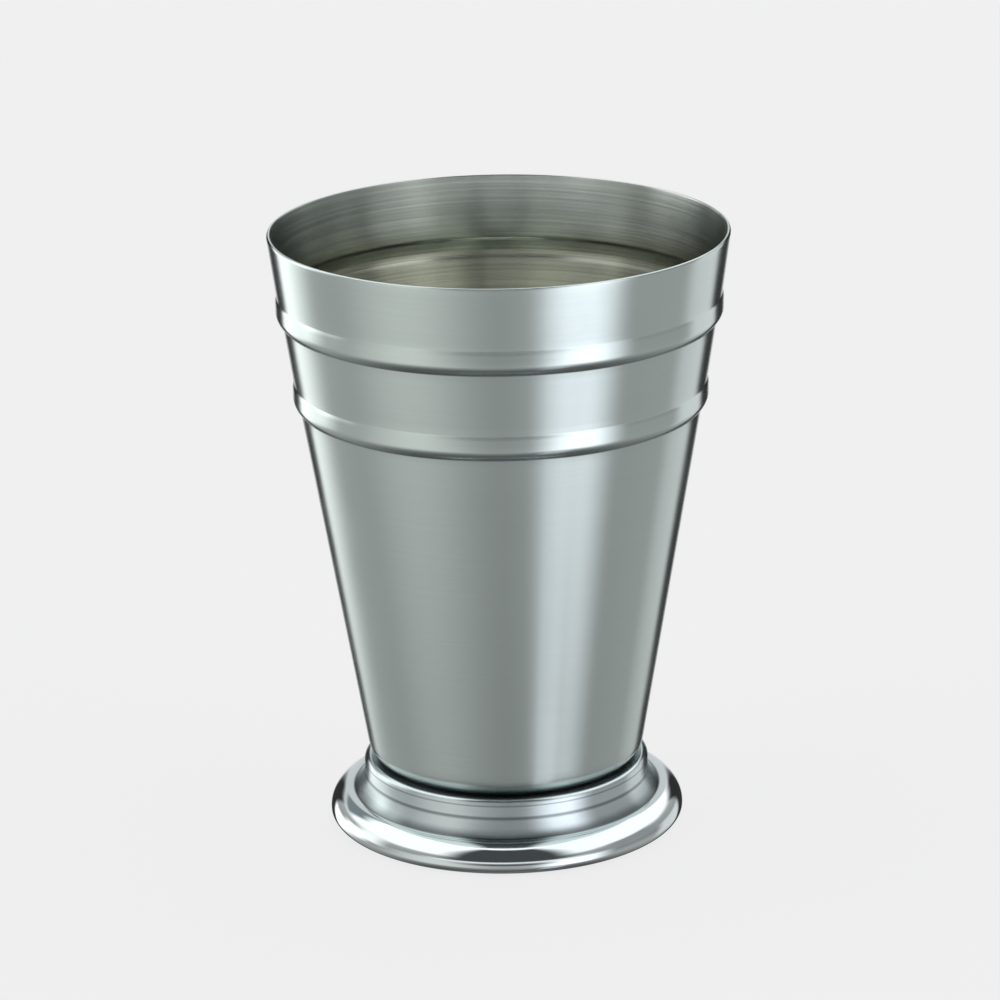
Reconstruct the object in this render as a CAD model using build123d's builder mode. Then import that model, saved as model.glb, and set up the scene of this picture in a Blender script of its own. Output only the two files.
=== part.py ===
"""Footed julep cup: a drawn steel bowl with two rolled beads, brazed to a stamped foot.

Millimetres, +Z up. The origin is the centre of the circle that the cup stands on.
Each piece is a surface of revolution, drawn as one line on its outside and then thickened inwards.
"""

from build123d import *

import os
from math import atan2, radians, tan

# Bowl, measured on its outside
cup_height = 115.35  # table to the top of the rim
rim_radius = 43.0
bowl_wall = 0.8
rim_round = 0.36  # on both edges of the rim
rim_taper = 7.7  # degrees from upright, between the rim and the upper bead
middle_taper = 8.8  # degrees from upright, between the two beads
base_radius = 25.7  # where the lower wall and the floor would meet in a sharp corner
base_corner = 5.0

# Rolled beads, which push the wall outwards all the way round
upper_bead_drop = 11.9  # rim to the top of the upper bead
bead_spacing = 16.6  # top of the upper bead to the top of the lower one
bead_height = 4.7
bead_step = 0.28  # bead face out from the wall above it
bead_tuck = 1.25  # wall below a bead, in from the bead face
crown_rise = 0.5  # height over which the wall steps out to the bead face
belly_rise = 1.0  # height over which the bead face tucks back to the wall
crown_radius = 1.2
belly_radius = 2.4
crease_radius = 0.4

# Foot, stamped from sheet as a low hat with a hollow flare and a rolled ring at its edge
seat_height = 11.5  # table to the seat that carries the bowl
foot_radius = 33.85
foot_sheet = 1.0
seat_width = 13.2  # collar to the open middle of the seat
dish_radius = 1.5  # where the seat turns up towards the lip
lip_rise = 1.05  # lip round the base of the bowl, above the seat
collar_lip = 1.5  # collar out from the sharp corner of the bowl
collar_height = 3.6  # lip to the top of the hollow flare
shoulder_radius = 1.2
flare_radius = 7.0  # hollow curve between the collar and the ring
ring_radius = 4.0  # upper side of the rolled ring
ring_start = 98.0  # degrees from level, where the ring leaves the hollow flare
turn_radius = 1.85  # lower side of the rolled ring, which turns under
rest_width = 3.9  # flat ring that stands on the table

# Braze between the floor of the bowl and the seat of the foot
braze_gap = 0.2
braze_inset = 1.0  # back from the open middle, and from the rounded corner of the bowl

# Levels and radii that follow from the sizes above
bowl_floor = seat_height + braze_gap
upper_bead_top = cup_height - upper_bead_drop
lower_bead_top = upper_bead_top - bead_spacing
upper_wall_radius = rim_radius - upper_bead_drop * tan(radians(rim_taper))
middle_wall_top = upper_wall_radius + bead_step - bead_tuck
middle_wall_drop = bead_spacing - bead_height
middle_wall_foot = middle_wall_top - middle_wall_drop * tan(radians(middle_taper))
collar_radius = base_radius + collar_lip
vent_radius = collar_radius - seat_width


def bead_corners(wall_radius, top):
    """Corners of one bead from the bottom up, below a wall that reaches it at wall_radius."""
    face_radius = wall_radius + bead_step
    bottom = top - bead_height
    return [
        (face_radius - bead_tuck, bottom),
        (face_radius, bottom + belly_rise),
        (face_radius, top - crown_rise),
        (wall_radius, top),
    ]


bead_radii = [crease_radius, belly_radius, crown_radius, crease_radius]
lower_bead = bead_corners(middle_wall_foot, lower_bead_top)
upper_bead = bead_corners(upper_wall_radius, upper_bead_top)

# The wall runs past the rim by its own thickness and is then cut level
rim_overrun = (rim_radius + bowl_wall * tan(radians(rim_taper)), cup_height + bowl_wall)

with BuildPart() as bowl:
    with BuildSketch(Plane.XZ):
        with BuildLine():
            bowl_outside = FilletPolyline(
                (0, bowl_floor),
                (base_radius, bowl_floor),
                *lower_bead,
                *upper_bead,
                rim_overrun,
                radius=[base_corner, *bead_radii, *bead_radii],
            )
            offset(bowl_outside, amount=bowl_wall, side=Side.LEFT)
        make_face()
    revolve(axis=Axis.Z)
    split(bisect_by=Plane.XY.offset(cup_height), keep=Keep.BOTTOM)
    fillet(bowl.edges().group_by(Axis.Z)[-1], radius=rim_round)
bowl.part.label = "bowl"

# The flat floor of the bowl ends where its rounded corner starts
lower_wall_lean = atan2(lower_bead[0][0] - base_radius, lower_bead[0][1] - bowl_floor)
floor_radius = base_radius - base_corner * tan((radians(90) - lower_wall_lean) / 2)

# The upper and the lower side of the rolled ring meet at its widest point
lip_height = seat_height + lip_rise
ring_centre = (foot_radius - ring_radius, turn_radius)
turn_centre = (foot_radius - turn_radius, turn_radius)

with BuildPart() as foot:
    with BuildSketch(Plane.XZ):
        with BuildLine():
            hat = FilletPolyline(
                (vent_radius, seat_height),
                (floor_radius, seat_height),
                (collar_radius, lip_height),
                (collar_radius, lip_height - collar_height),
                radius=[dish_radius, shoulder_radius],
            )
            ring = CenterArc(ring_centre, ring_radius, ring_start, -ring_start)
            flare = RadiusArc(hat @ 1, ring @ 0, -flare_radius)
            turn = CenterArc(turn_centre, turn_radius, 0, -90)
            rest = Line(turn @ 1, (turn_centre[0] - rest_width, 0))
            outside = Wire([*hat.edges(), flare, ring, turn, rest])
            offset(outside, amount=foot_sheet, side=Side.RIGHT)
        make_face()
    revolve(axis=Axis.Z)
foot.part.label = "foot"

# A thin ring of filler metal, as wide as the flat faces that it joins
braze_outer = floor_radius - braze_inset
braze_inner = vent_radius + braze_inset

with BuildPart() as braze_ring:
    with BuildSketch(Plane.XY.offset(seat_height)):
        Circle(braze_outer)
        Circle(braze_inner, mode=Mode.SUBTRACT)
    extrude(amount=braze_gap)
braze_ring.part.label = "braze_ring"

os.makedirs("parts", exist_ok=True)
export_step(bowl.part, "parts/bowl.step")
export_step(foot.part, "parts/foot.step")
export_step(braze_ring.part, "parts/braze_ring.step")
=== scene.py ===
"""Julep cup: a satin steel bowl with two rolled beads on a mirror-polished foot, in a pale studio.

The bowl and the foot are profiles spun about the axis of the cup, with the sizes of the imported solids.
"""

from math import acos, atan2, ceil, cos, pi, radians, sin, sqrt, tan
from typing import NamedTuple

import bpy
from bpy.props import FloatProperty, FloatVectorProperty, IntProperty, PointerProperty
from bpy.types import Operator, Panel, PropertyGroup
from mathutils import Matrix, Vector


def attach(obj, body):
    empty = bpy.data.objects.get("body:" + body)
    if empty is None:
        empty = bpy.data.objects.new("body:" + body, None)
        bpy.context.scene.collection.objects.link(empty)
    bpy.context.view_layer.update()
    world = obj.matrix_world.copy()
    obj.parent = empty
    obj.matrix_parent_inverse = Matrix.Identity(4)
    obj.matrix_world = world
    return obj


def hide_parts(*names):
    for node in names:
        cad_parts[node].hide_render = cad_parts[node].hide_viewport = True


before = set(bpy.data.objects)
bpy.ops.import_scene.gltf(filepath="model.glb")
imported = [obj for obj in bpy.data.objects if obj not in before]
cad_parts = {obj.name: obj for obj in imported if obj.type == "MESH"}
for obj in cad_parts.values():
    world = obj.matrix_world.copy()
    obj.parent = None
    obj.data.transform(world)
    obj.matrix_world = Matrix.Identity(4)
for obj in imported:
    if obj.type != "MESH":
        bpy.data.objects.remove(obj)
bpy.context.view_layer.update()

bl_info = {
    "name": "Julep Cup",
    "version": (1, 0, 0),
    "blender": (4, 5, 0),
    "location": "View3D > Sidebar > Cup",
    "description": "Spins the bowl and the foot of a julep cup, finishes them and sets the studio",
    "category": "Object",
}

MM = 0.001


def length(name, description, default):
    """A property for one size of the cup, in metres."""
    return FloatProperty(
        name=name, description=description, default=default, min=0.0, precision=5, unit="LENGTH"
    )


def angle(name, description, default):
    """A property for one angle, given in degrees and kept in radians."""
    return FloatProperty(
        name=name, description=description, default=radians(default), subtype="ANGLE"
    )


def colour(name, description, default):
    """A property for one colour, in linear light."""
    return FloatVectorProperty(
        name=name, description=description, default=default, min=0.0, max=1.0, subtype="COLOR"
    )


def share(name, description, default):
    """A property for a value from 0 to 1."""
    return FloatProperty(
        name=name, description=description, default=default, min=0.0, max=1.0, subtype="FACTOR"
    )


class CupBowlSettings(PropertyGroup):
    """Sizes of the bowl, measured on its outside."""

    rim_height: length("Rim height", "From the table to the top of the rim", 115.35 * MM)
    floor_height: length("Floor height", "From the table to the underside of the bowl", 11.7 * MM)
    rim_radius: length("Rim radius", "At the sharp corner that the rim would have", 43.0 * MM)
    wall: length("Wall", "Thickness of the sheet", 0.8 * MM)
    rim_round: length("Rim rounding", "Radius on both edges of the rim", 0.36 * MM)
    rim_taper: angle("Rim taper", "Of the wall above the upper bead, from upright", 7.7)
    middle_taper: angle("Middle taper", "Of the wall between the beads, from upright", 8.8)
    base_radius: length("Base radius", "Where the lower wall and the floor would meet", 25.7 * MM)
    base_corner: length("Base corner", "Radius between the floor and the wall", 5.0 * MM)
    bead_drop: length("Bead drop", "From the rim to the top of the upper bead", 11.9 * MM)
    bead_spacing: length("Bead spacing", "From the top of one bead to the top of the next", 16.6 * MM)
    bead_height: length("Bead height", "From the top of a bead to its lower crease", 4.7 * MM)
    bead_step: length("Bead step", "Bead face out from the wall above it", 0.28 * MM)
    bead_tuck: length("Bead tuck", "Wall below a bead, in from the bead face", 1.25 * MM)
    crown_rise: length("Crown rise", "Height of the step out to the bead face", 0.5 * MM)
    belly_rise: length("Belly rise", "Height of the tuck back to the wall", 1.0 * MM)
    crown_radius: length("Crown radius", "Rounding at the top of a bead", 1.2 * MM)
    belly_radius: length("Belly radius", "Rounding at the bottom of a bead", 2.4 * MM)
    crease_radius: length("Crease radius", "Rounding where a bead meets the wall", 0.4 * MM)


class CupFootSettings(PropertyGroup):
    """Sizes of the foot, measured on its outside."""

    seat_height: length("Seat height", "From the table to the seat under the bowl", 11.5 * MM)
    radius: length("Foot radius", "At the widest point of the rolled ring", 33.85 * MM)
    sheet: length("Sheet", "Thickness of the sheet", 1.0 * MM)
    vent_radius: length("Vent radius", "Open middle of the seat", 14.0 * MM)
    flat_radius: length("Flat radius", "Where the seat turns up towards the lip", 21.474 * MM)
    dish_radius: length("Dish radius", "Rounding where the seat turns up", 1.5 * MM)
    lip_rise: length("Lip rise", "Lip round the base of the bowl, above the seat", 1.05 * MM)
    collar_radius: length("Collar radius", "Upright collar below the lip", 27.2 * MM)
    collar_height: length("Collar height", "From the lip to the top of the flare", 3.6 * MM)
    shoulder_radius: length("Shoulder radius", "Rounding at the top of the collar", 1.2 * MM)
    flare_radius: length("Flare radius", "Hollow curve between the collar and the ring", 7.0 * MM)
    ring_radius: length("Ring radius", "Upper side of the rolled ring", 4.0 * MM)
    ring_start: angle("Ring start", "Where the ring leaves the flare, from level", 98.0)
    turn_radius: length("Turn radius", "Lower side of the rolled ring, which turns under", 1.85 * MM)
    rest_width: length("Rest width", "Flat ring that stands on the table", 3.9 * MM)


class CupFinishSettings(PropertyGroup):
    """Colours and polish of the metals."""

    steps_around: IntProperty(
        name="Steps around", description="Facets of a spun piece", default=240, min=24, max=480
    )
    satin_colour: colour("Satin colour", "Outside of the bowl", (0.55, 0.62, 0.60))
    satin_roughness: share("Satin roughness", "Outside of the bowl", 0.17)
    satin_stretch: share("Satin stretch", "Of reflections in the bowl, along its wall", 0.9)
    satin_marks: share("Satin marks", "How far turning marks darken the outside of the bowl", 0.015)
    satin_relief: share("Satin relief", "How far turning marks stand out outside the bowl", 0.05)
    satin_haze: share("Satin haze", "Roughness that handling adds to the bowl", 0.03)
    inside_colour: colour("Inside colour", "Inside of the bowl", (0.64, 0.685, 0.645))
    inside_roughness: share("Inside roughness", "Inside of the bowl", 0.19)
    inside_marks: share("Inside marks", "How far turning marks darken the inside of the bowl", 0.2)
    inside_relief: share("Inside relief", "How far turning marks stand out inside the bowl", 0.3)
    inside_upright: share("Inside upright", "How far the turned steps inside stand up", 0.95)
    inside_level: share("Inside level", "How far up a face inside looks before its steps show", 0.16)
    groove_reach: length("Groove reach", "How far the soft roll of a groove inside reaches", 4.2 * MM)
    groove_roll: share("Groove roll", "How far a groove inside turns under at its edge", 0.095)
    # Painted shade: a darker, olive band inside the bowl round the grooves, standing in for the shade
    # there and the tint of light reflected round the inside
    painted_groove_shade_colour: colour("Groove shade colour", "Faint stain inside, round the grooves", (0.60, 0.61, 0.525))
    painted_groove_shade_top: length("Groove shade top", "Height at which the faint stain inside starts", 106.0 * MM)
    painted_groove_shade_top_fade: length("Groove shade top fade", "Soft edge at the top of the stain", 5.0 * MM)
    painted_groove_shade_foot: length("Groove shade foot", "Height at which the faint stain inside has gone", 80.0 * MM)
    painted_groove_shade_foot_fade: length("Groove shade foot fade", "Soft edge at the foot of the stain", 12.0 * MM)
    mark_depth: length("Mark depth", "Depth of a turning mark", 0.02 * MM)
    polished_colour: colour("Polished colour", "Ring of the foot", (0.615, 0.668, 0.67))
    polished_roughness: share("Polished roughness", "Ring of the foot", 0.04)
    polished_haze: share("Polished haze", "Roughness that handling adds to the foot", 0.02)
    haze_tone: share("Haze tone", "Light that a handled place on the foot keeps", 0.96)
    turned_colour: colour("Turned colour", "Collar and flare of the foot", (0.55, 0.62, 0.628))
    turned_roughness: share("Turned roughness", "Collar and flare of the foot", 0.22)
    turned_stretch: share("Turned stretch", "Of reflections in the foot, along its profile", 0.9)
    turned_upright: share("Turned upright", "How far the turned steps outside stand up", 0.85)
    turned_relief: share("Turned relief", "How far turning marks stand out on the foot", 0.1)
    hidden_roughness: share("Hidden roughness", "Underside of the foot, beyond that of the ring", 0.34)
    # Painted shade: dark lines under the lip, at the root of the flare and at its foot, standing in for
    # the shade in these creases
    lip_shade_line: length("Lip line", "Half width of the residue under the lip", 0.25 * MM)
    lip_shade_tone: share("Lip tone", "Light that the residue under the lip leaves", 0.55)
    root_shade_line: length("Root line", "Half width of the residue at the root of the flare", 0.55 * MM)
    root_shade_tone: share("Root tone", "Light that the residue at the root of the flare leaves", 0.4)
    flare_shade_line: length("Flare line", "Half width of the residue at the foot of the flare", 1.5 * MM)
    flare_shade_tone: share("Flare tone", "Light that the residue at the foot of the flare leaves", 0.4)
    braze_colour: colour("Braze colour", "Filler metal of the joint", (0.72, 0.68, 0.58))
    braze_roughness: share("Braze roughness", "Filler metal of the joint", 0.45)
    braze_tone: share("Braze tone", "Light that a dull patch of the filler keeps", 0.8)
    braze_mottle: share("Braze mottle", "Roughness that a dull patch of the filler adds", 0.15)


class CupStudioSettings(PropertyGroup):
    """Floor and camera."""

    floor_colour: colour("Floor colour", "Pale floor", (0.86, 0.86, 0.86))
    floor_size: length("Floor size", "Side of the floor", 12.0)
    camera_side: FloatProperty(
        name="Camera side",
        description="Camera to the right of the axis",
        default=-0.474 * MM,
        unit="LENGTH",
    )
    camera_distance: length("Camera distance", "From the axis of the cup, along the floor", 780.3 * MM)
    camera_height: length("Camera height", "Above the floor", 315.05 * MM)
    camera_pitch: angle("Camera pitch", "Below the horizon", 17.925)
    camera_roll: angle("Camera roll", "Clockwise, seen from behind the camera", 0.86)
    lens: FloatProperty(
        name="Lens",
        description="Focal length in millimetres, for a sensor 36 mm wide",
        default=156.56,
        min=1.0,
    )


# Outlines of the spun pieces, as points (radius, height)
ARC_STEP = radians(5.0)
LEAST_ARC_STEPS = 4
RUN_STEP = 1.5 * MM
LEAST_RADIUS = 0.02 * MM
ON_TABLE = 0.0001 * MM
MERGE_DISTANCE = 0.001 * MM
PATH_RADIUS = 60.0 * MM
SHARP_EDGE = radians(15.0)

# Kinds of face, which a spun piece carries on its mesh
OUTER_FACE = 0.0
INNER_FACE = 1.0
TURNED_FACE = 1.0
MIRROR_FACE = 0.0
HIDDEN_FACE = -1.0


def arc_points(centre, radius, start, end):
    """Points on an arc from one angle to another, both ends included."""
    count = max(LEAST_ARC_STEPS, ceil(abs(end - start) / ARC_STEP))
    turns = [start + (end - start) * step / count for step in range(count + 1)]
    return [centre + radius * Vector((cos(turn), sin(turn))) for turn in turns]


def rounded_line(corners, radii):
    """A run of straight lines through the corners, with each inner corner rounded to its radius."""
    points = [corners[0]]
    for before, corner, after, radius in zip(corners, corners[1:], corners[2:], radii):
        back = (before - corner).normalized()
        on = (after - corner).normalized()
        half = acos(max(-1.0, min(1.0, back.dot(on)))) / 2
        centre = corner + (back + on).normalized() * (radius / sin(half))
        first = corner + back * (radius / tan(half)) - centre
        last = corner + on * (radius / tan(half)) - centre
        start = atan2(first.y, first.x)
        sweep = (atan2(last.y, last.x) - start + pi) % (2 * pi) - pi
        points += arc_points(centre, radius, start, start + sweep)
    return points + [corners[-1]]


def inset_line(corners, radii, depth):
    """The corners and radii of the same line, moved to its left by depth."""
    moved = []
    for index, corner in enumerate(corners):
        sides = []
        for start, end in zip(corners[max(index - 1, 0):], corners[max(index - 1, 0) + 1:index + 2]):
            along = (end - start).normalized()
            sides.append(Vector((-along.y, along.x)))
        middle = sum(sides, Vector((0.0, 0.0))).normalized()
        moved.append(corner + middle * (depth / middle.dot(sides[0])))
    new_radii = []
    for before, corner, after, radius in zip(corners, corners[1:], corners[2:], radii):
        turns_left = (corner - before).cross(after - corner) > 0
        moved_radius = radius - depth if turns_left else radius + depth
        new_radii.append(max(moved_radius, LEAST_RADIUS))
    return moved, new_radii


def with_support(points):
    """The same outline, with long straight runs divided so that shading stays true along them."""
    dense = [points[0]]
    for start, end in zip(points, points[1:]):
        pieces = max(1, ceil((end - start).length / RUN_STEP))
        dense += [start.lerp(end, step / pieces) for step in range(1, pieces + 1)]
    return dense


def bead_corners(bowl, wall_radius, top):
    """Corners of one bead from the bottom up, below a wall that reaches it at wall_radius."""
    face = wall_radius + bowl.bead_step
    bottom = top - bowl.bead_height
    return [
        Vector((face - bowl.bead_tuck, bottom)),
        Vector((face, bottom + bowl.belly_rise)),
        Vector((face, top - bowl.crown_rise)),
        Vector((wall_radius, top)),
    ]


def bowl_outlines(bowl):
    """The outside of the bowl from its floor to its rim, and the inside from the rim to its floor."""
    upper_top = bowl.rim_height - bowl.bead_drop
    lower_top = upper_top - bowl.bead_spacing
    upper_radius = bowl.rim_radius - bowl.bead_drop * tan(bowl.rim_taper)
    middle_radius = upper_radius + bowl.bead_step - bowl.bead_tuck
    lower_radius = middle_radius - (bowl.bead_spacing - bowl.bead_height) * tan(bowl.middle_taper)
    corners = [
        Vector((0.0, bowl.floor_height)),
        Vector((bowl.base_radius, bowl.floor_height)),
        *bead_corners(bowl, lower_radius, lower_top),
        *bead_corners(bowl, upper_radius, upper_top),
        Vector((bowl.rim_radius, bowl.rim_height)),
    ]
    bead = [bowl.crease_radius, bowl.belly_radius, bowl.crown_radius, bowl.crease_radius]
    radii = [bowl.base_corner, *bead, *bead]
    inner, inner_radii = inset_line(corners, radii, bowl.wall)
    rim_lean = (inner[-2] - inner[-1]).normalized()
    inner[-1] = inner[-1] + rim_lean * ((bowl.rim_height - inner[-1].y) / rim_lean.y)
    outside = rounded_line(corners + [inner[-1]], radii + [bowl.rim_round])
    inside = rounded_line([corners[-1]] + inner[::-1], [bowl.rim_round] + inner_radii[::-1])
    return outside[:-1], inside[1:]


def foot_line(foot, depth):
    """The foot at a depth inside its outer face: from its vent to its ring, and round the ring."""
    lip = foot.seat_height + foot.lip_rise
    root = Vector((foot.collar_radius, lip - foot.collar_height))
    corners = [
        Vector((foot.vent_radius, foot.seat_height)),
        Vector((foot.flat_radius, foot.seat_height)),
        Vector((foot.collar_radius, lip)),
        root,
    ]
    corners, radii = inset_line(corners, [foot.dish_radius, foot.shoulder_radius], -depth)
    ring_centre = Vector((foot.radius - foot.ring_radius, foot.turn_radius))
    turn_centre = Vector((foot.radius - foot.turn_radius, foot.turn_radius))
    crease = ring_centre + foot.ring_radius * Vector((cos(foot.ring_start), sin(foot.ring_start)))
    chord = crease - root
    across = Vector((-chord.y, chord.x)).normalized()
    hollow = (root + crease) / 2 + across * sqrt(foot.flare_radius ** 2 - chord.length_squared / 4)
    first = atan2(root.y - hollow.y, root.x - hollow.x)
    last = atan2(crease.y - hollow.y, crease.x - hollow.x)
    turned = [
        *rounded_line(corners, radii)[:-1],
        *arc_points(root, depth, -pi, first)[:-1],
        *arc_points(hollow, foot.flare_radius + depth, first, last),
    ]
    ring = [
        *arc_points(crease, depth, last, foot.ring_start - pi)[1:-1],
        *arc_points(ring_centre, foot.ring_radius - depth, foot.ring_start, 0.0),
        *arc_points(turn_centre, foot.turn_radius - depth, 0.0, radians(-90.0))[1:],
        Vector((turn_centre.x - foot.rest_width, depth)),
    ]
    return turned, ring


def without_repeats(points):
    """The same outline, without points that lie on the one before them."""
    kept = [points[0]]
    for point in points[1:]:
        if (point - kept[-1]).length > MERGE_DISTANCE:
            kept.append(point)
    return kept


def node(tree, kind, inputs=None, **settings):
    """A new node with its settings, and its inputs set or linked by name or number."""
    made = tree.nodes.new(kind)
    for key, value in settings.items():
        setattr(made, key, value)
    for key, value in (inputs or {}).items():
        if isinstance(value, bpy.types.NodeSocket):
            tree.links.new(value, made.inputs[key])
        else:
            made.inputs[key].default_value = value
    return made


def spin_tree():
    """Geometry nodes that spin a profile, drawn as (radius, 0, height), about Z."""
    tree = bpy.data.node_groups.new("Spin Profile", "GeometryNodeTree")
    tree.interface.new_socket("Profile", in_out="INPUT", socket_type="NodeSocketGeometry")
    sockets = {
        "Steps Around": "NodeSocketInt",
        "Path Radius": "NodeSocketFloat",
        "Merge Distance": "NodeSocketFloat",
        "Material": "NodeSocketMaterial",
    }
    names = {
        name: tree.interface.new_socket(name, in_out="INPUT", socket_type=kind).identifier
        for name, kind in sockets.items()
    }
    tree.interface.new_socket("Spun", in_out="OUTPUT", socket_type="NodeSocketGeometry")
    given = tree.nodes.new("NodeGroupInput").outputs
    shift = node(tree, "ShaderNodeMath", {0: given["Path Radius"], 1: -1.0}, operation="MULTIPLY")
    move = node(tree, "ShaderNodeCombineXYZ", {"X": shift.outputs[0]})
    line = node(tree, "GeometryNodeMeshToCurve", {"Mesh": given["Profile"]})
    laid = node(
        tree,
        "GeometryNodeTransform",
        {
            "Geometry": line.outputs["Curve"],
            "Translation": move.outputs[0],
            "Rotation": (pi / 2, 0.0, 0.0),
        },
    )
    circle = node(
        tree,
        "GeometryNodeCurvePrimitiveCircle",
        {"Resolution": given["Steps Around"], "Radius": given["Path Radius"]},
    )
    sweep = node(
        tree,
        "GeometryNodeCurveToMesh",
        {"Curve": circle.outputs["Curve"], "Profile Curve": laid.outputs["Geometry"]},
    )
    weld = node(
        tree,
        "GeometryNodeMergeByDistance",
        {"Geometry": sweep.outputs["Mesh"], "Distance": given["Merge Distance"]},
    )
    smooth = node(tree, "GeometryNodeSetShadeSmooth", {"Geometry": weld.outputs["Geometry"]})
    real = node(tree, "GeometryNodeRealizeInstances", {"Geometry": smooth.outputs["Geometry"]})
    dressed = node(
        tree,
        "GeometryNodeSetMaterial",
        {"Geometry": real.outputs["Geometry"], "Material": given["Material"]},
    )
    node(tree, "NodeGroupOutput", {"Spun": dressed.outputs["Geometry"]})
    return tree, names


def spin(name, outline, flag, flags, material, steps, closed):
    """A finished piece, spun from an outline that has a named flag for each of its points."""
    profile = bpy.data.meshes.new(name + "_profile")
    count = len(outline)
    edges = [(index, (index + 1) % count) for index in range(count if closed else count - 1)]
    profile.from_pydata([(point.x, 0.0, point.y) for point in outline], edges, [])
    run = [0.0]
    for start, end in zip(outline, outline[1:]):
        run.append(run[-1] + (end - start).length)
    for attribute, values in (("along", run), (flag, flags)):
        profile.attributes.new(attribute, "FLOAT", "POINT").data.foreach_set("value", values)
    piece = bpy.data.objects.new(name, profile)
    bpy.context.scene.collection.objects.link(piece)
    tree, names = spin_tree()
    modifier = piece.modifiers.new("Spin", "NODES")
    modifier.node_group = tree
    modifier[names["Steps Around"]] = steps
    modifier[names["Path Radius"]] = PATH_RADIUS
    modifier[names["Merge Distance"]] = MERGE_DISTANCE
    modifier[names["Material"]] = material
    evaluated = piece.evaluated_get(bpy.context.evaluated_depsgraph_get())
    mesh = bpy.data.meshes.new_from_object(evaluated)
    if not mesh.polygons:
        raise RuntimeError(f"the profile of {name} spun to nothing")
    piece.modifiers.clear()
    piece.data = mesh
    mesh.name = name
    mesh.set_sharp_from_angle(angle=SHARP_EDGE)
    return piece


# Inputs and output of a Mix node for colours, by number
MIX_PART = 0
MIX_FIRST = 6
MIX_LAST = 7
MIX_COLOUR = 2


def maths(tree, operation, *values):
    """The result of one sum, whose values are numbers or sockets."""
    return node(tree, "ShaderNodeMath", dict(enumerate(values)), operation=operation).outputs[0]


def between(tree, part, first, last):
    """A value that runs evenly from first to last as part runs from 0 to 1."""
    ends = {"Value": part, "To Min": first, "To Max": last}
    return node(tree, "ShaderNodeMapRange", ends).outputs["Result"]


def fade(tree, value, first, last):
    """A part that runs softly from 0 to 1 as the value runs from first to last."""
    ends = {"Value": value, "From Min": first, "From Max": last}
    return node(tree, "ShaderNodeMapRange", ends, interpolation_type="SMOOTHSTEP").outputs["Result"]


def opaque(tint):
    """A colour with full cover."""
    return (*tint, 1.0)


def blend(tree, part, first, last):
    """A colour that runs from first to last as part runs from 0 to 1."""
    ends = {MIX_PART: part, MIX_FIRST: first, MIX_LAST: last}
    return node(tree, "ShaderNodeMix", ends, data_type="RGBA").outputs[MIX_COLOUR]


def dimmed(tree, tint, light):
    """A colour that keeps a share of its light."""
    inputs = {0: tint, "Scale": light}
    return node(tree, "ShaderNodeVectorMath", inputs, operation="SCALE").outputs[0]


def carried(tree, name):
    """A value that a spun piece carries on its mesh."""
    return node(tree, "ShaderNodeAttribute", attribute_name=name).outputs["Fac"]


def place_on_piece(tree):
    """The place on a piece, as its X, Y and Z."""
    place = node(tree, "ShaderNodeTexCoord").outputs["Object"]
    return node(tree, "ShaderNodeSeparateXYZ", {0: place}).outputs


# Turning marks: how many to a metre along the profile and round the axis, and how clear they are
MARKS_ALONG = 2500.0
MARKS_AROUND = 14.0
MARK_DETAIL = 3.0
MARK_GRAIN = 0.6
MARK_LOW = 0.32
MARK_HIGH = 0.68

# The steps of a face that looks further up than this lean no further
STEP_LIMIT = 0.62

# Handling haze: how many clouds to a metre, how ragged they are, and where they start and are full
BOWL_CLOUDS = 60.0
FOOT_CLOUDS = 90.0
BRAZE_CLOUDS = 400.0
CLOUD_DETAIL = 4.0
CLOUD_GRAIN = 0.55
HAZE_LOW = 0.4
HAZE_HIGH = 0.7

# Marks that run round a piece draw its reflections out at a right angle to them
QUARTER_TURN = 0.25


# Shared shader effects
def group_tree(name, inputs, outputs):
    """A shader node group with named float inputs and outputs."""
    tree = bpy.data.node_groups.new(name, "ShaderNodeTree")
    for label, default in inputs.items():
        socket = tree.interface.new_socket(label, in_out="INPUT", socket_type="NodeSocketFloat")
        socket.default_value = default
    for label in outputs:
        tree.interface.new_socket(label, in_out="OUTPUT", socket_type="NodeSocketFloat")
    return tree


def effect(tree, group, inputs):
    """What a shared effect puts out for a material's own values."""
    return node(tree, "ShaderNodeGroup", inputs, node_tree=group).outputs[0]


def turning_marks_group():
    """Fine marks that run round a spun wall, by distance along the profile and place round the axis."""
    name = "Turning Marks"
    if name in bpy.data.node_groups:
        return bpy.data.node_groups[name]
    inputs = {"Along": 0.0, "Lines": MARKS_ALONG, "Run": MARKS_AROUND}
    tree = group_tree(name, inputs, ["Marks"])
    given = tree.nodes.new("NodeGroupInput").outputs
    place = place_on_piece(tree)
    at = node(
        tree,
        "ShaderNodeCombineXYZ",
        {
            "X": maths(tree, "MULTIPLY", place["X"], given["Run"]),
            "Y": maths(tree, "MULTIPLY", place["Y"], given["Run"]),
            "Z": maths(tree, "MULTIPLY", given["Along"], given["Lines"]),
        },
    )
    lines = node(
        tree,
        "ShaderNodeTexNoise",
        {"Vector": at.outputs[0], "Scale": 1.0, "Detail": MARK_DETAIL, "Roughness": MARK_GRAIN},
    )
    clear = fade(tree, lines.outputs["Fac"], MARK_LOW, MARK_HIGH)
    node(tree, "NodeGroupOutput", {"Marks": clear})
    return tree


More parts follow.
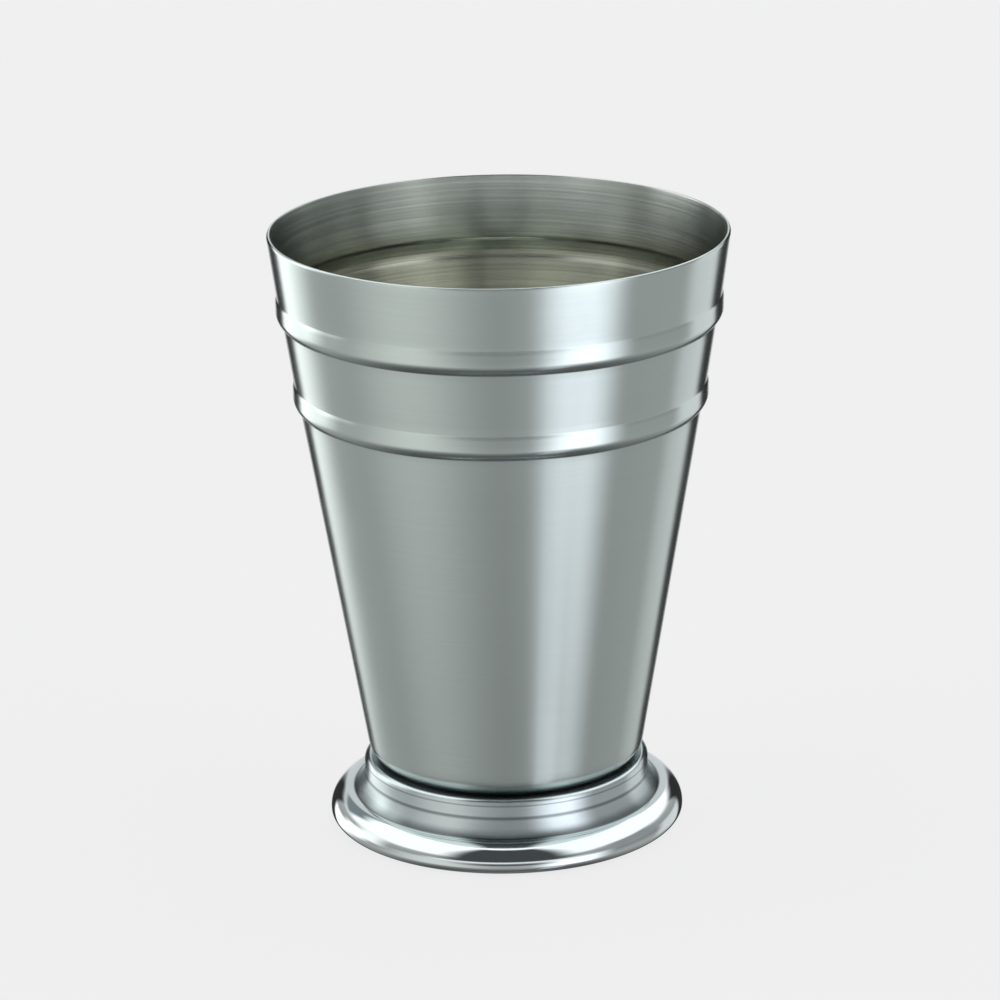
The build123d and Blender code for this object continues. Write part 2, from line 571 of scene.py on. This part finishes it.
def turned_steps_group():
    """The normal of a turned face: where it looks up, its fine steps stand more upright."""
    name = "Turned Steps"
    if name in bpy.data.node_groups:
        return bpy.data.node_groups[name]
    tree = group_tree(name, {"Upright": 0.5, "From": 0.0, "Roll": 0.0}, [])
    tree.interface.new_socket("Normal", in_out="OUTPUT", socket_type="NodeSocketVector")
    given = tree.nodes.new("NodeGroupInput").outputs
    facing = node(tree, "ShaderNodeNewGeometry").outputs["Normal"]
    face = node(tree, "ShaderNodeSeparateXYZ", {0: facing}).outputs
    past = maths(tree, "SUBTRACT", face["Z"], given["From"])
    up = node(tree, "ShaderNodeClamp", {"Value": past, "Min": 0.0, "Max": STEP_LIMIT}).outputs[0]
    lost = maths(tree, "MULTIPLY", up, given["Upright"])
    level = maths(tree, "SUBTRACT", face["Z"], lost)
    rise = maths(tree, "SUBTRACT", level, given["Roll"])
    leaned = node(tree, "ShaderNodeCombineXYZ", {"X": face["X"], "Y": face["Y"], "Z": rise})
    riser = node(tree, "ShaderNodeVectorMath", {0: leaned.outputs[0]}, operation="NORMALIZE")
    node(tree, "NodeGroupOutput", {"Normal": riser.outputs[0]})
    return tree


def haze_group():
    """Soft clouds, where a polished face has been handled and wiped."""
    name = "Handling Haze"
    if name in bpy.data.node_groups:
        return bpy.data.node_groups[name]
    inputs = {"Clouds": BOWL_CLOUDS, "Low": HAZE_LOW, "High": HAZE_HIGH}
    tree = group_tree(name, inputs, ["Haze"])
    given = tree.nodes.new("NodeGroupInput").outputs
    place = node(tree, "ShaderNodeTexCoord").outputs["Object"]
    clouds = node(
        tree,
        "ShaderNodeTexNoise",
        {
            "Vector": place,
            "Scale": given["Clouds"],
            "Detail": CLOUD_DETAIL,
            "Roughness": CLOUD_GRAIN,
        },
    )
    spread = fade(tree, clouds.outputs["Fac"], given["Low"], given["High"])
    node(tree, "NodeGroupOutput", {"Haze": spread})
    return tree


def crease_group():
    """How near a place is to a line round a piece, by height: 1 on it, and 0 past its half width."""
    name = "Crease Line"
    if name in bpy.data.node_groups:
        return bpy.data.node_groups[name]
    tree = group_tree(name, {"Height": 0.0, "Place": 0.0, "Half Width": 0.5 * MM}, ["Line"])
    given = tree.nodes.new("NodeGroupInput").outputs
    apart = maths(tree, "SUBTRACT", given["Height"], given["Place"])
    off = maths(tree, "ABSOLUTE", apart)
    node(tree, "NodeGroupOutput", {"Line": fade(tree, off, given["Half Width"], 0.0)})
    return tree


# Metals of the cup
def metal(name):
    """A new material with a plain metal shader, and the shader's node tree."""
    material = bpy.data.materials.new(name)
    material.use_nodes = True
    tree = material.node_tree
    tree.nodes.clear()
    shader = node(tree, "ShaderNodeBsdfPrincipled", {"Metallic": 1.0})
    node(tree, "ShaderNodeOutputMaterial", {"Surface": shader.outputs["BSDF"]})
    return material, tree, shader


def relief(tree, marks, strength, depth, normal):
    """A normal on which turning marks stand out."""
    raised = {"Strength": strength, "Distance": depth, "Height": marks, "Normal": normal}
    return node(tree, "ShaderNodeBump", raised).outputs[0]


def turned_finish(tree, shader, tint, roughness, normal, stretch):
    """Give a shader its colour, roughness and normal, and draw reflections out across its marks."""
    tree.links.new(tint, shader.inputs["Base Color"])
    tree.links.new(roughness, shader.inputs["Roughness"])
    tree.links.new(normal, shader.inputs["Normal"])
    shader.inputs["Anisotropic"].default_value = stretch
    shader.inputs["Anisotropic Rotation"].default_value = QUARTER_TURN
    tangent = node(tree, "ShaderNodeTangent", direction_type="RADIAL", axis="Z")
    tree.links.new(tangent.outputs[0], shader.inputs["Tangent"])


def satin_steel(finish, groove_level):
    """The bowl: softly polished outside, turned inside, with marks that run round it."""
    material, tree, shader = metal("satin_steel")
    inner = carried(tree, "inner")
    height = place_on_piece(tree)["Z"]
    marks = effect(tree, turning_marks_group(), {"Along": carried(tree, "along")})
    haze = effect(tree, haze_group(), {"Clouds": BOWL_CLOUDS})
    # Painted shade: a darker, olive band inside the bowl between these heights, standing in for shade
    # and light reflected round the inside
    below = fade(tree, height, finish.painted_groove_shade_top, finish.painted_groove_shade_top - finish.painted_groove_shade_top_fade)
    above = fade(tree, height, finish.painted_groove_shade_foot, finish.painted_groove_shade_foot + finish.painted_groove_shade_foot_fade)
    painted_groove_shade = maths(tree, "MULTIPLY", below, above)
    inside = blend(tree, painted_groove_shade, opaque(finish.inside_colour), opaque(finish.painted_groove_shade_colour))
    base = blend(tree, inner, opaque(finish.satin_colour), inside)
    depth = between(tree, inner, finish.satin_marks, finish.inside_marks)
    dark = maths(tree, "MULTIPLY", marks, depth)
    light = maths(tree, "SUBTRACT", 1.0, dark)
    rough = between(tree, inner, finish.satin_roughness, finish.inside_roughness)
    worn = maths(tree, "MULTIPLY_ADD", haze, finish.satin_haze, rough)
    edge = {"Height": height, "Place": groove_level, "Half Width": finish.groove_reach}
    groove = maths(tree, "MULTIPLY", effect(tree, crease_group(), edge), inner)
    lean = {
        "Upright": between(tree, inner, finish.turned_upright, finish.inside_upright),
        "From": between(tree, inner, 0.0, finish.inside_level),
        "Roll": maths(tree, "MULTIPLY", groove, finish.groove_roll),
    }
    steps = effect(tree, turned_steps_group(), lean)
    strength = between(tree, inner, finish.satin_relief, finish.inside_relief)
    normal = relief(tree, marks, strength, finish.mark_depth, steps)
    turned_finish(tree, shader, dimmed(tree, base, light), worn, normal, finish.satin_stretch)
    return material


def polished_steel(finish, creases):
    """The foot: a mirror on the ring, turned above it and dull below, with painted shade darkening its
    creases.

    Each crease is given by its height, its half width and the share of the light that it leaves.
    """
    material, tree, shader = metal("polished_steel")
    face = carried(tree, "face")
    turned = node(tree, "ShaderNodeClamp", {"Value": face}).outputs[0]
    away = {"Value": face, "From Min": MIRROR_FACE, "From Max": HIDDEN_FACE}
    hidden = node(tree, "ShaderNodeMapRange", away).outputs["Result"]
    height = place_on_piece(tree)["Z"]
    marks = effect(tree, turning_marks_group(), {"Along": carried(tree, "along")})
    haze = effect(tree, haze_group(), {"Clouds": FOOT_CLOUDS})
    base = blend(tree, turned, opaque(finish.polished_colour), opaque(finish.turned_colour))
    light = between(tree, haze, 1.0, finish.haze_tone)
    # Painted shade: each crease line darkens the colour of the turned faces round it
    for place, half_width, left in creases:
        line = {"Height": height, "Place": place, "Half Width": half_width}
        painted_shade = maths(tree, "MULTIPLY", effect(tree, crease_group(), line), turned)
        light = maths(tree, "MULTIPLY", light, between(tree, painted_shade, 1.0, left))
    rough = between(tree, turned, finish.polished_roughness, finish.turned_roughness)
    worn = maths(tree, "MULTIPLY_ADD", haze, finish.polished_haze, rough)
    plain = maths(tree, "MULTIPLY_ADD", hidden, finish.hidden_roughness, worn)
    upright = between(tree, turned, 0.0, finish.turned_upright)
    steps = effect(tree, turned_steps_group(), {"Upright": upright})
    strength = between(tree, turned, 0.0, finish.turned_relief)
    normal = relief(tree, marks, strength, finish.mark_depth, steps)
    turned_finish(tree, shader, dimmed(tree, base, light), plain, normal, finish.turned_stretch)
    return material


def braze_filler(finish):
    """The joint: dull filler metal, mottled as it flowed."""
    material, tree, shader = metal("braze_filler")
    haze = effect(tree, haze_group(), {"Clouds": BRAZE_CLOUDS})
    tone = between(tree, haze, 1.0, finish.braze_tone)
    dullest = finish.braze_roughness + finish.braze_mottle
    rough = between(tree, haze, finish.braze_roughness, dullest)
    tree.links.new(dimmed(tree, finish.braze_colour, tone), shader.inputs["Base Color"])
    tree.links.new(rough, shader.inputs["Roughness"])
    return material


class LightPanel(NamedTuple):
    """A panel of the studio, laid over the ones before it, with its angles in degrees."""

    name: str
    azimuth: float
    half_width: float
    side_edge: float
    low: float
    high: float
    low_edge: float
    high_edge: float
    light: tuple


# Light of the bare studio at each elevation, from straight down to straight up
ROOM = [
    (-90.0, 0.22),
    (-65.0, 0.12),
    (-50.0, 0.26),
    (-40.0, 0.37),
    (-30.0, 0.48),
    (-18.0, 0.52),
    (-12.0, 0.42),
    (-6.0, 0.34),
    (2.0, 0.42),
    (17.0, 0.55),
    (25.0, 1.60),
    (90.0, 1.60),
]

# Azimuths run to the right from the camera's side of the cup
PANELS = [
    LightPanel("left table glow", -48.0, 26.0, 24.0, -34.0, 0.0, 9.0, 4.0, (0.94, 0.94, 0.91)),
    LightPanel("right table haze", 28.0, 8.0, 22.0, -36.0, 0.0, 8.0, 4.0, (0.8, 0.8, 0.82)),
    LightPanel("right table glow", 43.5, 18.0, 13.0, -34.0, 0.0, 9.0, 4.0, (2.0, 2.0, 2.15)),
    LightPanel("right table sheet", 36.5, 9.5, 2.0, -60.0, -36.0, 6.0, 2.0, (0.68, 0.68, 0.73)),
    LightPanel("left rim glow", -138.0, 16.0, 14.0, -24.5, 2.0, 6.0, 4.0, (1.75, 1.75, 1.75)),
    LightPanel("right rim glow", 129.0, 15.0, 6.0, -26.0, 2.0, 9.0, 4.0, (0.95, 0.95, 0.96)),
    LightPanel("right wall", 102.0, 60.0, 6.0, 24.0, 90.0, 3.0, 6.0, (1.6, 1.6, 1.65)),
    LightPanel("left window", -100.0, 12.0, 9.0, -9.0, 22.0, 5.0, 4.0, (1.5, 1.5, 1.48)),
    LightPanel("left flare glow", -115.0, 9.0, 9.0, -16.0, 10.0, 5.0, 4.0, (2.2, 2.2, 2.18)),
    LightPanel("right shade", 88.0, 22.0, 12.0, 3.0, 25.0, 3.0, 4.0, (0.4, 0.4, 0.41)),
    LightPanel("front gap", 0.0, 40.0, 11.0, 7.0, 74.0, 2.0, 2.0, (0.085, 0.09, 0.095)),
    LightPanel("front line", 0.0, 52.0, 12.0, -1.0, 6.0, 1.2, 1.2, (1.15, 1.15, 1.15)),
    LightPanel("front edge", 0.0, 26.0, 18.0, -13.0, -4.0, 2.5, 2.0, (0.14, 0.14, 0.14)),
    LightPanel("left back", -158.0, 22.0, 6.0, 22.0, 38.0, 3.0, 4.0, (0.27, 0.31, 0.33)),
    LightPanel("left flag", -156.0, 9.0, 3.0, -60.0, 18.0, 10.0, 5.0, (0.04, 0.04, 0.04)),
    LightPanel("right flag", 155.0, 10.0, 3.0, -60.0, 20.0, 10.0, 5.0, (0.04, 0.04, 0.04)),
    LightPanel("back", 180.0, 13.0, 2.0, -60.0, 40.0, 10.0, 5.0, (0.8, 0.82, 0.83)),
]
FLOOR_DROP = 0.05 * MM
FLOOR_GLOW = 0.92
SENSOR_WIDTH = 36.0


def panel_group():
    """The share of one panel that lies in a direction, with its angles in radians."""
    sides = ("Centre", "Half Width", "Side Edge", "Low", "High", "Low Edge", "High Edge")
    inputs = dict.fromkeys(("Azimuth", "Elevation", *sides), 0.0)
    tree = group_tree("Light Panel", inputs, ["Share"])
    given = tree.nodes.new("NodeGroupInput").outputs
    apart = maths(tree, "SUBTRACT", given["Azimuth"], given["Centre"])
    off = maths(tree, "ABSOLUTE", maths(tree, "WRAP", apart, pi, -pi))

    def edge(value, limit, soft, inside_above):
        """1 on the inner side of a limit and 0 on the outer, with a soft edge between."""
        low = maths(tree, "SUBTRACT", limit, soft)
        high = maths(tree, "ADD", limit, soft)
        if inside_above:
            return fade(tree, value, low, high)
        return fade(tree, value, high, low)

    across = edge(off, given["Half Width"], given["Side Edge"], False)
    above = edge(given["Elevation"], given["Low"], given["Low Edge"], True)
    below = edge(given["Elevation"], given["High"], given["High Edge"], False)
    upright = maths(tree, "MULTIPLY", above, below)
    node(tree, "NodeGroupOutput", {"Share": maths(tree, "MULTIPLY", upright, across)})
    return tree


def studio_world(studio):
    """Soft panels for the cup to mirror, and a pale tone where the camera sees past the floor."""
    world = bpy.data.worlds.new("studio")
    bpy.context.scene.world = world
    world.use_nodes = True
    tree = world.node_tree
    tree.nodes.clear()
    direction = node(tree, "ShaderNodeTexCoord").outputs["Generated"]
    way = node(tree, "ShaderNodeSeparateXYZ", {0: direction}).outputs
    azimuth = maths(tree, "ARCTAN2", way["X"], maths(tree, "MULTIPLY", way["Y"], -1.0))
    elevation = maths(tree, "ARCSINE", way["Z"])
    lowest = ROOM[0][0]
    highest = ROOM[-1][0]
    span = {"Value": elevation, "From Min": radians(lowest), "From Max": radians(highest)}
    height = node(tree, "ShaderNodeMapRange", span).outputs["Result"]
    room = node(tree, "ShaderNodeValToRGB", {"Fac": height})
    stops = room.color_ramp.elements
    ready = len(stops)
    for index, (level, light) in enumerate(ROOM):
        place = (level - lowest) / (highest - lowest)
        stop = stops[index] if index < ready else stops.new(place)
        stop.position = place
        stop.color = (light, light, light, 1.0)
    group = panel_group()
    shine = room.outputs["Color"]
    for panel in PANELS:
        angles = {
            "Centre": panel.azimuth,
            "Half Width": panel.half_width,
            "Side Edge": panel.side_edge,
            "Low": panel.low,
            "High": panel.high,
            "Low Edge": panel.low_edge,
            "High Edge": panel.high_edge,
        }
        inputs = {label: radians(value) for label, value in angles.items()}
        inputs.update({"Azimuth": azimuth, "Elevation": elevation})
        seen = node(tree, "ShaderNodeGroup", inputs, node_tree=group, label=panel.name)
        shine = blend(tree, seen.outputs["Share"], shine, opaque(panel.light))
    looked_at = node(tree, "ShaderNodeLightPath").outputs["Is Camera Ray"]
    tone = blend(tree, looked_at, shine, opaque(studio.floor_colour))
    shown = node(tree, "ShaderNodeBackground", {"Color": tone, "Strength": 1.0})
    node(tree, "ShaderNodeOutputWorld", {"Surface": shown.outputs[0]})


def pale_floor(studio):
    """A plain pale floor, clear from below, that the polished metal doesn't mirror."""
    half = studio.floor_size / 2
    sides = [(-half, -half), (half, -half), (half, half), (-half, half)]
    mesh = bpy.data.meshes.new("floor")
    mesh.from_pydata([(x, y, -FLOOR_DROP) for x, y in sides], [], [(0, 1, 2, 3)])
    floor = bpy.data.objects.new("floor", mesh)
    bpy.context.scene.collection.objects.link(floor)
    material = bpy.data.materials.new("pale_floor")
    material.use_nodes = True
    tree = material.node_tree
    tree.nodes.clear()
    paint = node(tree, "ShaderNodeBsdfDiffuse", {"Color": opaque(studio.floor_colour)})
    clear = node(tree, "ShaderNodeBsdfTransparent")
    glow = node(tree, "ShaderNodeEmission", {"Color": opaque(studio.floor_colour)})
    lit = node(tree, "ShaderNodeMixShader", {0: FLOOR_GLOW, 1: paint.outputs[0], 2: glow.outputs[0]})
    under = node(tree, "ShaderNodeNewGeometry").outputs["Backfacing"]
    both = node(tree, "ShaderNodeMixShader", {0: under, 1: lit.outputs[0], 2: clear.outputs[0]})
    node(tree, "ShaderNodeOutputMaterial", {"Surface": both.outputs[0]})
    mesh.materials.append(material)
    floor.visible_glossy = False


def studio_camera(studio):
    """The camera, level with the photograph's view of the cup."""
    data = bpy.data.cameras.new("camera")
    data.lens = studio.lens
    data.sensor_width = SENSOR_WIDTH
    camera = bpy.data.objects.new("camera", data)
    bpy.context.scene.collection.objects.link(camera)
    place = Vector((studio.camera_side, -studio.camera_distance, studio.camera_height))
    tilt = Matrix.Rotation(pi / 2 - studio.camera_pitch, 4, "X")
    roll = Matrix.Rotation(-studio.camera_roll, 4, "Z")
    camera.matrix_world = Matrix.Translation(place) @ tilt @ roll
    bpy.context.scene.camera = camera


class CUP_OT_bowl(Operator):
    """Spin the bowl and give it its satin finish"""

    bl_idname = "cup.bowl"
    bl_label = "Bowl"

    def execute(self, context):
        scene = context.scene
        bowl = scene.cup_bowl
        outside, inside = bowl_outlines(bowl)
        inner_line = with_support(inside[::-1])
        outer_line = with_support(outside[::-1])
        flags = [INNER_FACE] * len(inner_line) + [OUTER_FACE] * len(outer_line)
        material = satin_steel(scene.cup_finish, bowl.rim_height - bowl.bead_drop)
        steps = scene.cup_finish.steps_around
        piece = spin("bowl_shell", inner_line + outer_line, "inner", flags, material, steps, False)
        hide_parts("bowl")
        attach(piece, "root")
        return {"FINISHED"}


class CUP_OT_foot(Operator):
    """Spin the foot and give it its mirror finish"""

    bl_idname = "cup.foot"
    bl_label = "Foot"

    def execute(self, context):
        foot = context.scene.cup_foot
        finish = context.scene.cup_finish
        turned, ring = foot_line(foot, 0.0)
        under_seat, under_ring = foot_line(foot, foot.sheet)
        under = with_support(without_repeats(under_seat + under_ring)[::-1])
        turned = with_support(without_repeats(turned))
        ring = with_support(without_repeats(turned[-1:] + ring))[1:]
        on_ring = [MIRROR_FACE if point.y > ON_TABLE else HIDDEN_FACE for point in ring]
        flags = [TURNED_FACE] * len(turned) + on_ring + [HIDDEN_FACE] * len(under)
        lip = foot.seat_height + foot.lip_rise
        # Painted shade lines: under the lip, at the root of the flare and at the foot of the flare
        creases = [
            (lip - foot.shoulder_radius, finish.lip_shade_line, finish.lip_shade_tone),
            (lip - foot.collar_height, finish.root_shade_line, finish.root_shade_tone),
            (turned[-1].y, finish.flare_shade_line, finish.flare_shade_tone),
        ]
        material = polished_steel(finish, creases)
        outline = turned + ring + under
        piece = spin("foot_ring", outline, "face", flags, material, finish.steps_around, True)
        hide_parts("foot")
        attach(piece, "root")
        return {"FINISHED"}


class CUP_OT_braze(Operator):
    """Give the braze ring the finish of its filler metal"""

    bl_idname = "cup.braze"
    bl_label = "Braze ring"

    def execute(self, context):
        ring = bpy.data.objects["braze_ring"]
        material = braze_filler(context.scene.cup_finish)
        for place in ring.material_slots:
            place.material = material
        return {"FINISHED"}


class CUP_OT_stage(Operator):
    """Lay the floor, hang the lights and place the camera"""

    bl_idname = "cup.stage"
    bl_label = "Stage"

    def execute(self, context):
        studio = context.scene.cup_studio
        studio_world(studio)
        pale_floor(studio)
        studio_camera(studio)
        context.scene.view_settings.view_transform = "Standard"
        return {"FINISHED"}


class CUP_PT_tools(Panel):
    """The steps that make the cup, in order, with their sizes"""

    bl_idname = "CUP_PT_tools"
    bl_label = "Julep Cup"
    bl_space_type = "VIEW_3D"
    bl_region_type = "UI"
    bl_category = "Cup"

    def draw(self, context):
        for step in STEPS:
            self.layout.operator(step.bl_idname)
        for settings in (context.scene.cup_bowl, context.scene.cup_foot, context.scene.cup_finish):
            box = self.layout.box()
            for key in settings.__annotations__:
                box.prop(settings, key)


STEPS = (CUP_OT_bowl, CUP_OT_foot, CUP_OT_braze, CUP_OT_stage)
SETTINGS = {
    "cup_bowl": CupBowlSettings,
    "cup_foot": CupFootSettings,
    "cup_finish": CupFinishSettings,
    "cup_studio": CupStudioSettings,
}


def register():
    """Register the settings, the steps and the panel."""
    for key, settings in SETTINGS.items():
        bpy.utils.register_class(settings)
        setattr(bpy.types.Scene, key, PointerProperty(type=settings))
    for step in (*STEPS, CUP_PT_tools):
        bpy.utils.register_class(step)


def unregister():
    """Undo register, in reverse order."""
    for step in (CUP_PT_tools, *reversed(STEPS)):
        bpy.utils.unregister_class(step)
    for key in reversed(SETTINGS):
        delattr(bpy.types.Scene, key)
        bpy.utils.unregister_class(SETTINGS[key])


def main():
    """Make the cup and its studio."""
    register()
    bpy.ops.cup.bowl()
    bpy.ops.cup.foot()
    bpy.ops.cup.braze()
    bpy.ops.cup.stage()


if __name__ == "__main__":
    main()
